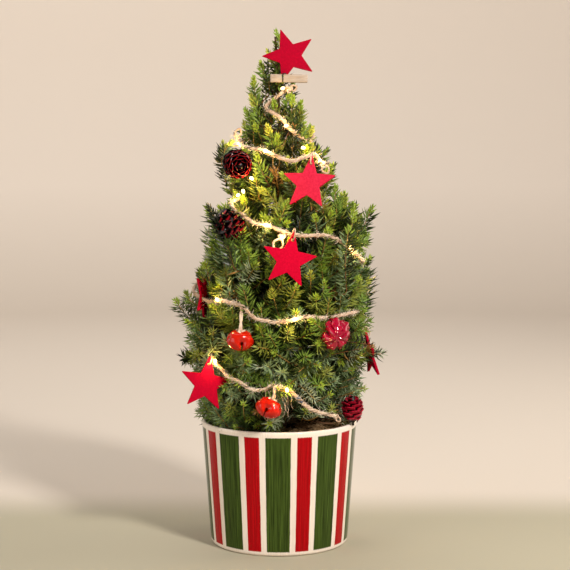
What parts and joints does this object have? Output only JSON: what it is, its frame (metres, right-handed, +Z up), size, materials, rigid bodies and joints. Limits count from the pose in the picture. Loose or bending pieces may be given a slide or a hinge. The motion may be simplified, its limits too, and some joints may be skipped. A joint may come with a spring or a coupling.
{
  "type": "potted dwarf spruce tree",
  "caption": "Small cone-shaped spruce in a round striped glazed pot, with red stars, cones, bells and a lit twine garland, standing on the pot's flat underside.",
  "frame": {"origin": "centre of the pot's flat underside, where it stands", "axes": "+Z up along the tree, -Y towards the front, +X to the viewer's right"},
  "size_m": [0.226, 0.1998, 0.5485],
  "materials": {
    "glaze": "gloss",
    "potting_mix": "matte",
    "bark": "matte",
    "needles": "matte",
    "needle_tips": "matte",
    "felt": "matte",
    "cone": "satin",
    "bell": "gloss",
    "twine": "matte",
    "peg": "matte",
    "wire": "satin",
    "lamp": null
  },
  "bodies": {
    "root": {"pot": "glaze", "root_ball": "potting_mix", "trunk": "bark", "bough_skirt_1": "bark", "foliage_skirt_1": "needles", "bough_skirt_2": "bark", "foliage_skirt_2": "needles", "bough_skirt_3": "bark", "foliage_skirt_3": "needles", "bough_skirt_4": "bark", "foliage_skirt_4": "needles", "bough_skirt_5": "bark", "foliage_skirt_5": "needles", "bough_lower_1": "bark", "foliage_lower_1": "needles", "bough_lower_2": "bark", "foliage_lower_2": "needles", "bough_lower_3": "bark", "foliage_lower_3": "needles", "bough_lower_4": "bark", "foliage_lower_4": "needles", "bough_lower_5": "bark", "foliage_lower_5": "needles", "bough_middle_1": "bark", "foliage_middle_1": "needles", "bough_middle_2": "bark", "foliage_middle_2": "needles", "bough_middle_3": "bark", "foliage_middle_3": "needles", "bough_middle_4": "bark", "foliage_middle_4": "needles", "bough_middle_5": "bark", "foliage_middle_5": "needles", "bough_shoulder_1": "bark", "foliage_shoulder_1": "needles", "bough_shoulder_2": "bark", "foliage_shoulder_2": "needles", "bough_shoulder_3": "bark", "foliage_shoulder_3": "needles", "bough_shoulder_4": "bark", "foliage_shoulder_4": "needles", "bough_shoulder_5": "bark", "foliage_shoulder_5": "needles", "bough_upper_1": "bark", "foliage_upper_1": "needles", "bough_upper_2": "bark", "foliage_upper_2": "needles", "bough_upper_3": "bark", "foliage_upper_3": "needles", "bough_collar_1": "bark", "foliage_collar_1": "needles", "bough_collar_2": "bark", "foliage_collar_2": "needles", "bough_collar_3": "bark", "foliage_collar_3": "needles", "foliage_spire": "needles"}
  },
  "joints": []
}
